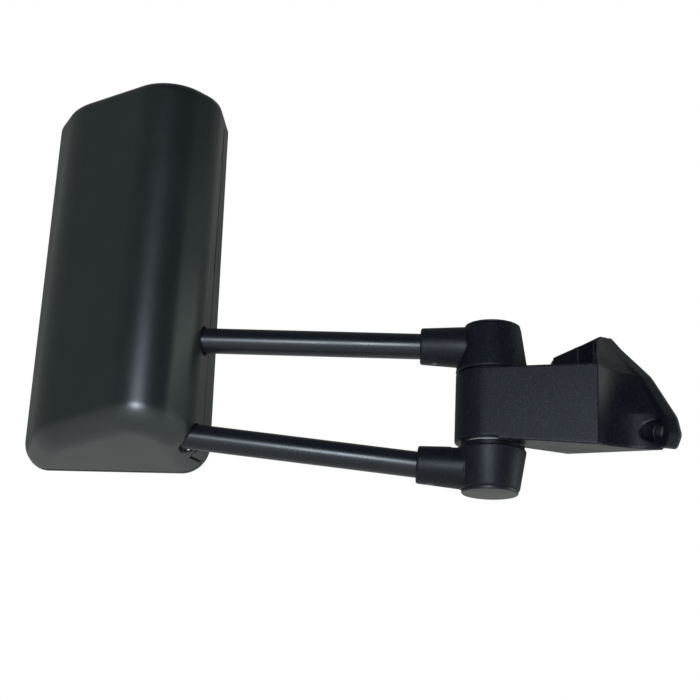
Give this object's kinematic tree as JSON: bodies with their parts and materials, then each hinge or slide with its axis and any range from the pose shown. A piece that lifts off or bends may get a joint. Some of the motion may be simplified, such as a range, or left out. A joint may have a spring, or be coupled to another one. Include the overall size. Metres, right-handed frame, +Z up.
{
  "type": "towing mirror",
  "caption": "Towing mirror: a tall two-glass head on twin tubes, folding on an upright hinge from a cast bracket that screws to a vehicle door.",
  "frame": {"origin": "on the mounting face of the gasket, level with the middle of the hinge and in line with the hinge axis", "axes": "+X towards the vehicle, square to the mounting face; +Y to the rear of the vehicle; +Z up"},
  "size_m": [0.4167, 0.3084, 0.3205],
  "materials": {
    "cast_black": "satin powder coat",
    "tube_black": "satin powder coat",
    "cap_black": "satin",
    "screw_black": "black oxide",
    "shell_black": "fine satin grain",
    "bezel_black": "fine satin grain",
    "frame_plastic": "matte",
    "bush_plastic": "matte natural acetal",
    "gasket_rubber": "matte",
    "zinc_steel": "zinc plated",
    "mirror_glass": "silvered glass"
  },
  "bodies": {
    "bracket": {"mount_bracket": "cast_black", "mount_gasket": "gasket_rubber", "upper_pivot_bush": "bush_plastic", "lower_pivot_bush": "bush_plastic", "stop_collar": "cast_black"},
    "arm": {"upper_knuckle": "cast_black", "lower_knuckle": "cast_black", "upper_knuckle_cap": "cap_black", "lower_knuckle_cap": "cap_black", "pivot_bolt": "zinc_steel", "disc_springs": "zinc_steel", "pivot_washer": "zinc_steel", "pivot_nut": "zinc_steel", "upper_tube": "tube_black", "lower_tube": "tube_black", "socket_grub_screws": "screw_black", "rear_shell": "shell_black", "front_bezel": "bezel_black", "head_frame": "frame_plastic", "tube_clamps": "frame_plastic", "clamp_screws": "zinc_steel", "shell_screws": "zinc_steel", "bezel_screws": "zinc_steel", "main_pivot_base": "bush_plastic", "wide_pivot_base": "bush_plastic", "pivot_base_screws": "zinc_steel"},
    "main_gimbal": {"main_gimbal_ring": "bush_plastic"},
    "main_mirror": {"main_glass_carrier": "frame_plastic", "main_glass": "mirror_glass"},
    "wide_gimbal": {"wide_gimbal_ring": "bush_plastic"},
    "wide_mirror": {"wide_glass_carrier": "frame_plastic", "wide_glass": "mirror_glass"}
  },
  "joints": [
    {"name": "fold", "type": "hinge", "parent": "bracket", "child": "arm", "pos_m": [-0.0983, 0, 0], "axis": [0, 0, 1], "range_deg": [-60, 75]},
    {"name": "main_pan", "type": "hinge", "parent": "arm", "child": "main_gimbal", "pos_m": [-0.35544, 0.15494, 0.159], "axis": [0, 0, 1], "range_deg": [-6, 6]},
    {"name": "main_tilt", "type": "hinge", "parent": "main_gimbal", "child": "main_mirror", "pos_m": [-0.35544, 0.15494, 0.159], "axis": [0.866, -0.5, 0], "range_deg": [-5, 5]},
    {"name": "wide_pan", "type": "hinge", "parent": "arm", "child": "wide_gimbal", "pos_m": [-0.35544, 0.15494, 0.0095], "axis": [0, 0, 1], "range_deg": [-6, 6]},
    {"name": "wide_tilt", "type": "hinge", "parent": "wide_gimbal", "child": "wide_mirror", "pos_m": [-0.35544, 0.15494, 0.0095], "axis": [0.866, -0.5, 0], "range_deg": [-5, 5]}
  ]
}
